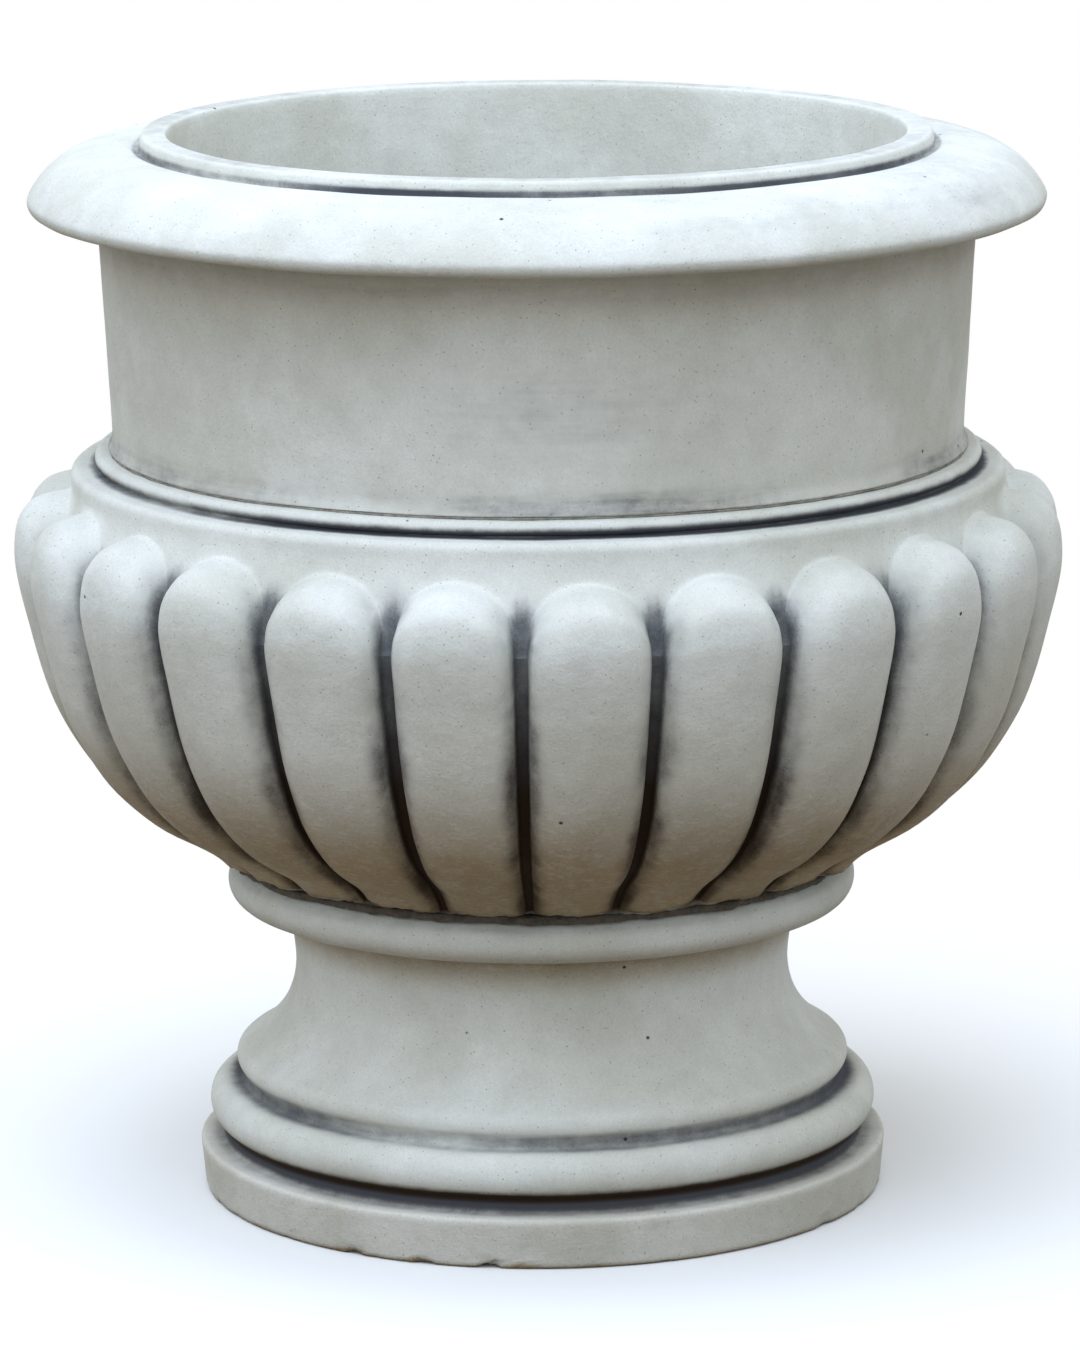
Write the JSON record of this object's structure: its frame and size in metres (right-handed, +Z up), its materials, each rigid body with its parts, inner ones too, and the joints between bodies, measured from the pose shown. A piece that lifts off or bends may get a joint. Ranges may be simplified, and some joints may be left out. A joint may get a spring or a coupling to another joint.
{
  "type": "urn planter",
  "caption": "Footed urn planter in cast stone: gadrooned bowl on a waisted round foot, smooth neck and wide rolled rim, open planting well with a drain through the foot.",
  "frame": {"origin": "centre of the foot's underside, on the ground", "axes": "+Z up along the axis that the urn is turned about; the picture looks along +Y"},
  "size_m": [0.7794, 0.7794, 0.8],
  "materials": {
    "cast_stone": "off-white cast stone, fine-grained, with a dark antique wash in its hollows",
    "mortar": "grey mortar, rough and unevenly pointed",
    "stainless_steel": "plain drawn bar",
    "galvanised_steel": "dull hot-dip zinc",
    "grey_plastic": "extruded grey PVC"
  },
  "bodies": {
    "root": {"foot": "cast_stone", "gadrooned_bowl": "cast_stone", "neck_and_rim": "cast_stone", "foot_mortar_bed": "mortar", "neck_mortar_bed": "mortar", "foot_dowels": "stainless_steel", "neck_dowels": "stainless_steel", "rim_hoop": "galvanised_steel", "bowl_hoops": "galvanised_steel", "plinth_hoop": "galvanised_steel", "drain_sleeve": "grey_plastic"}
  },
  "joints": []
}
